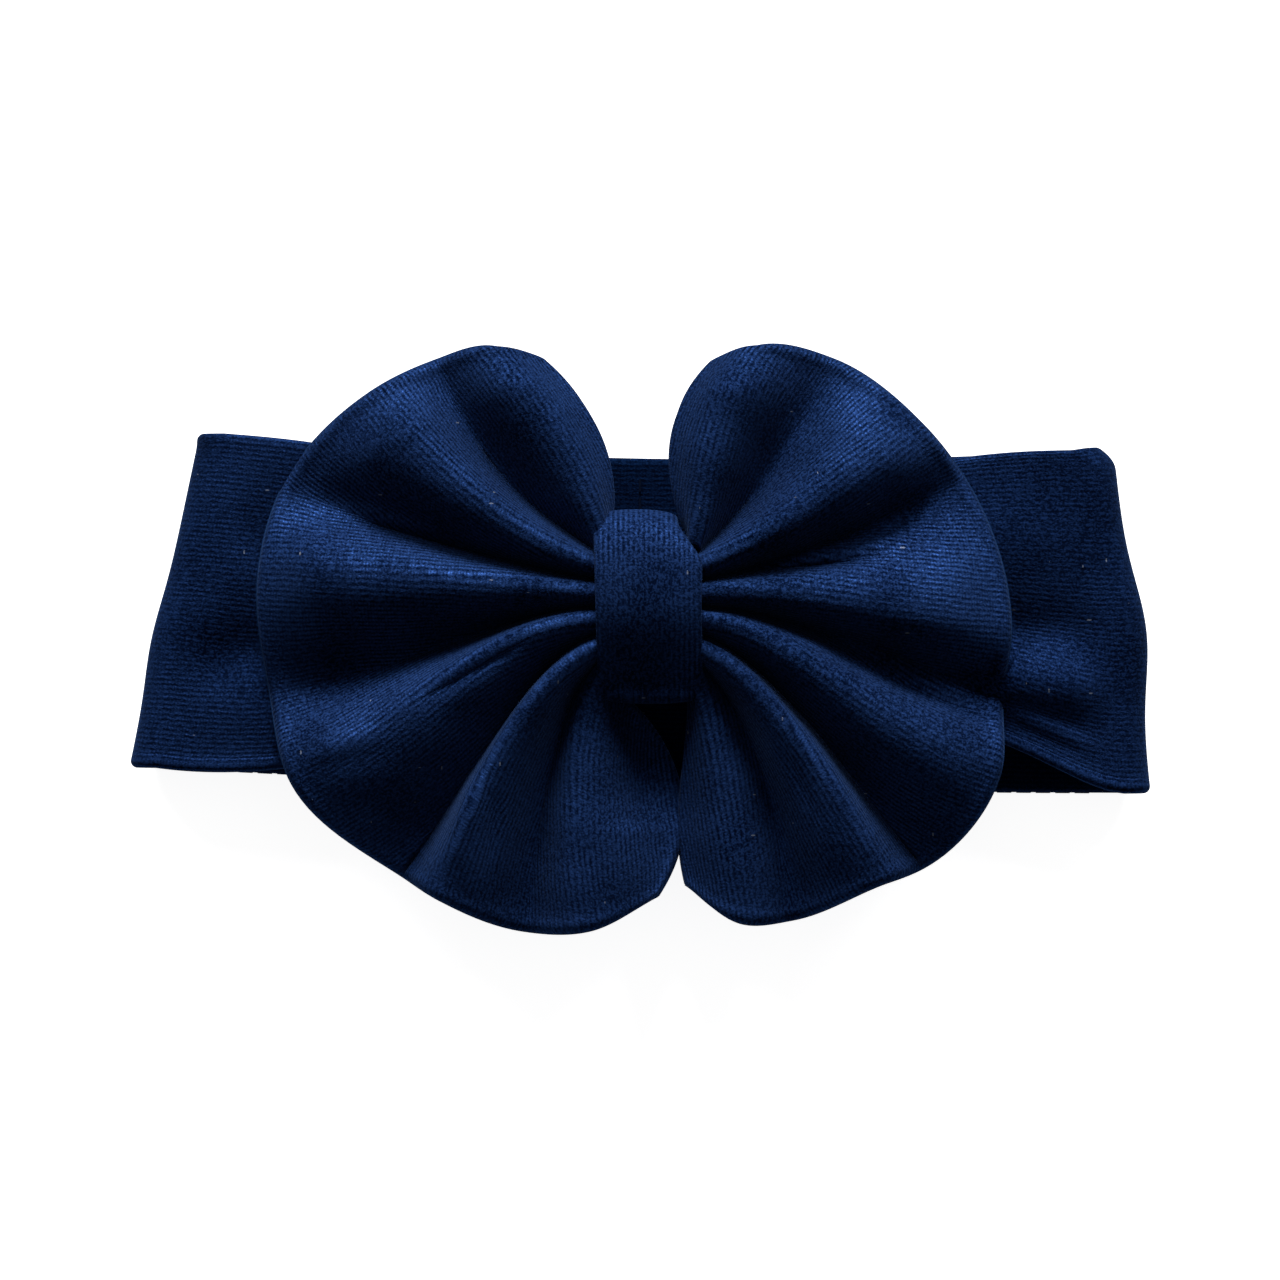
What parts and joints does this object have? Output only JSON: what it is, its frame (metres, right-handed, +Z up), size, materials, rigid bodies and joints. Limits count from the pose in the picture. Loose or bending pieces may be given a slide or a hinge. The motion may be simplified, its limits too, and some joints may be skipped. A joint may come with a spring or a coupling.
{
  "type": "knotted headband",
  "caption": "Wide soft loop headband of ribbed stretch velvet with a large pleated fan bow, gathered in the middle and held by a wrapped knot, lying flat.",
  "frame": {"origin": "on the table, under the middle of the whole footprint", "axes": "+X along the flat loop, to the right as the bow is seen; +Y across the band, the way the head goes through; +Z up off the table, out of the bow's face"},
  "size_m": [0.1832, 0.1052, 0.0252],
  "materials": {
    "band_velvet": "navy ribbed stretch velvet, ribs along the band",
    "bow_velvet": "navy ribbed stretch velvet, ribs from the knot out to the rim",
    "knot_velvet": "navy ribbed stretch velvet, ribs across the knot",
    "thread": "navy sewing thread, matt"
  },
  "bodies": {
    "band_back": {"band_back_inner": "band_velvet", "band_back_outer": "band_velvet", "band_join_thread": "thread", "band_long_seam_thread": "thread", "end_fold_left_inner": "band_velvet", "end_fold_left_outer": "band_velvet", "end_fold_right_inner": "band_velvet", "end_fold_right_outer": "band_velvet"},
    "band_front": {"band_front_left_inner": "band_velvet", "band_front_left_outer": "band_velvet", "band_front_right_inner": "band_velvet", "band_front_right_outer": "band_velvet", "band_gather": "band_velvet", "bow_gather": "bow_velvet", "bow_gather_thread": "thread", "bow_tack_thread": "thread", "knot_closing_thread": "thread", "knot_wrap_over": "knot_velvet", "knot_wrap_under": "knot_velvet", "left_wing_root_back": "bow_velvet", "left_wing_root_front": "bow_velvet", "right_wing_root_back": "bow_velvet", "right_wing_root_front": "bow_velvet"},
    "left_wing": {"left_wing_front": "bow_velvet", "left_wing_back": "bow_velvet", "left_wing_rim_thread": "thread"},
    "right_wing": {"right_wing_front": "bow_velvet", "right_wing_back": "bow_velvet", "right_wing_rim_thread": "thread"}
  },
  "joints": [
    {"name": "front_lift", "type": "slide", "parent": "band_back", "child": "band_front", "axis": [0, 0, 1], "range_m": [0, 0.036]},
    {"name": "left_flap", "type": "hinge", "parent": "band_front", "child": "left_wing", "pos_m": [-0.01, 0, 0.0246], "axis": [0, 1, 0], "range_deg": [0, 60]},
    {"name": "right_flap", "type": "hinge", "parent": "band_front", "child": "right_wing", "pos_m": [0.0129, 0, 0.0246], "axis": [0, -1, 0], "range_deg": [0, 60]}
  ]
}
